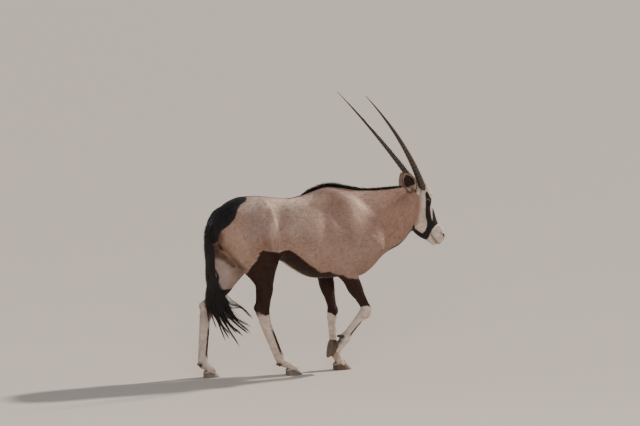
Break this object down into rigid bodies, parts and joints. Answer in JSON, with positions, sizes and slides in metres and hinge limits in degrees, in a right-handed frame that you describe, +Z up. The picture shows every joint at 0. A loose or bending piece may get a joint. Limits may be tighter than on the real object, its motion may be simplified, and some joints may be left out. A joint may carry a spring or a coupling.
{
  "type": "gemsbok model",
  "caption": "Life-size still model of a gemsbok antelope in mid stride: long straight ringed horns, upright cropped mane, dark brushed tail and one foreleg lifted.",
  "frame": {"origin": "middle of the model's bounding box, at floor level under the hooves", "axes": "+X forward, the way the animal walks; +Y to its left; +Z up"},
  "size_m": [1.6354, 0.5088, 1.7447],
  "materials": {
    "coat_fawn": "short flat fawn-grey hair with black and white markings",
    "coat_face": "short white facial hair with black patches",
    "coat_dark": "short blackish-brown hair",
    "coat_white": "short white hair",
    "tail_hair": "long black hair",
    "horn": "dark ringed horn, smooth towards the tips",
    "hoof": "dark hoof horn",
    "eye": "wet dark eye"
  },
  "bodies": {
    "root": {"torso": "coat_fawn", "neck": "coat_fawn", "head": "coat_face", "tail": "tail_hair", "horn_right": "horn", "ear_right": "coat_fawn", "eye_right": "eye", "horn_left": "horn", "ear_left": "coat_fawn", "eye_left": "eye", "hind_right_upper": "coat_dark", "hind_right_lower": "coat_white", "hind_right_claw_r": "hoof", "hind_right_claw_l": "hoof", "hind_right_dewclaw_r": "hoof", "hind_right_dewclaw_l": "hoof", "hind_left_upper": "coat_dark", "hind_left_lower": "coat_white", "hind_left_claw_r": "hoof", "hind_left_claw_l": "hoof", "hind_left_dewclaw_r": "hoof", "hind_left_dewclaw_l": "hoof", "fore_right_upper": "coat_dark", "fore_right_lower": "coat_white", "fore_right_claw_r": "hoof", "fore_right_claw_l": "hoof", "fore_right_dewclaw_r": "hoof", "fore_right_dewclaw_l": "hoof", "fore_left_upper": "coat_dark", "fore_left_lower": "coat_white", "fore_left_claw_r": "hoof", "fore_left_claw_l": "hoof", "fore_left_dewclaw_r": "hoof", "fore_left_dewclaw_l": "hoof"}
  },
  "joints": []
}
